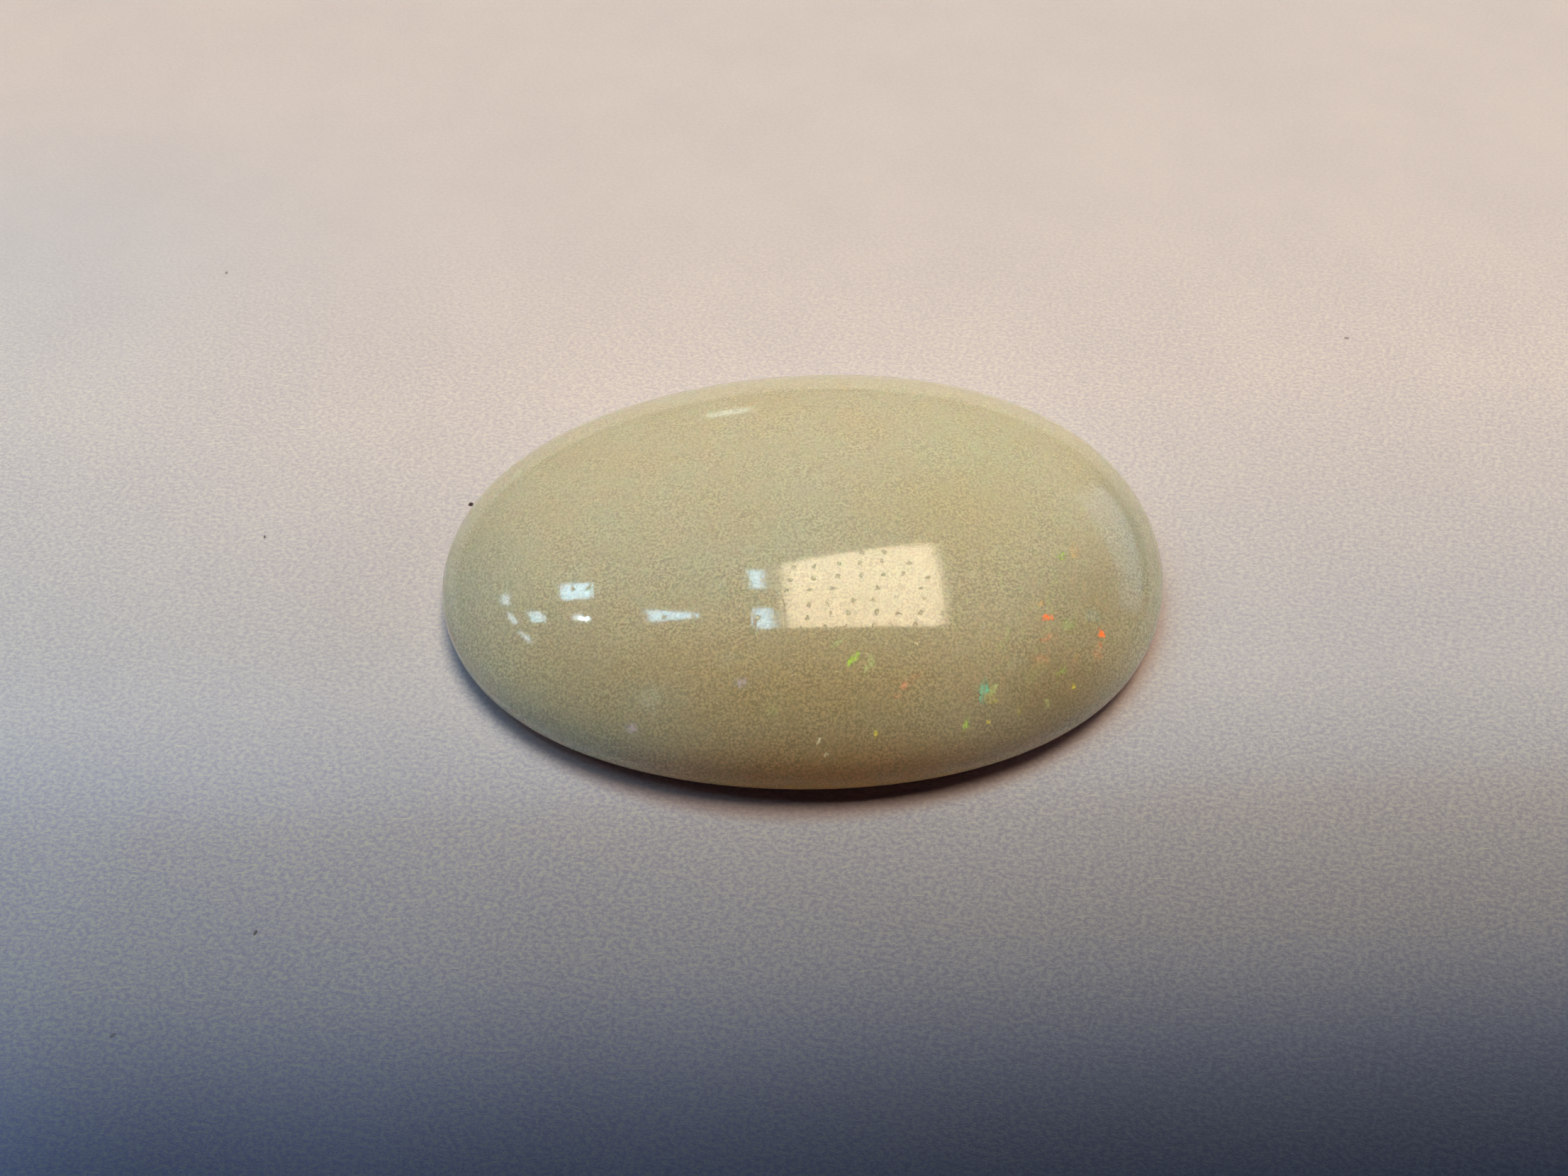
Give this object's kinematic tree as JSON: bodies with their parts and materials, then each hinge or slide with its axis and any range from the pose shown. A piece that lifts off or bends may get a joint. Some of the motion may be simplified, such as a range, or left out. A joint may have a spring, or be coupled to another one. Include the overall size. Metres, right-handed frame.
{
  "type": "oval opal cabochon",
  "caption": "Oval polished opal with a low domed face, a thin rounded girdle, a bevelled rim and a flat ground back to rest or glue on.",
  "frame": {"origin": "centre of the flat ground back, at the bottom of the stone", "axes": "+Z out of the dome, square to the flat back; +X along the length, towards the wider end; +Y across the width"},
  "size_m": [0.03, 0.02, 0.0056],
  "materials": {
    "opal": "polished"
  },
  "bodies": {
    "root": {"opal_cabochon": "opal"}
  },
  "joints": []
}
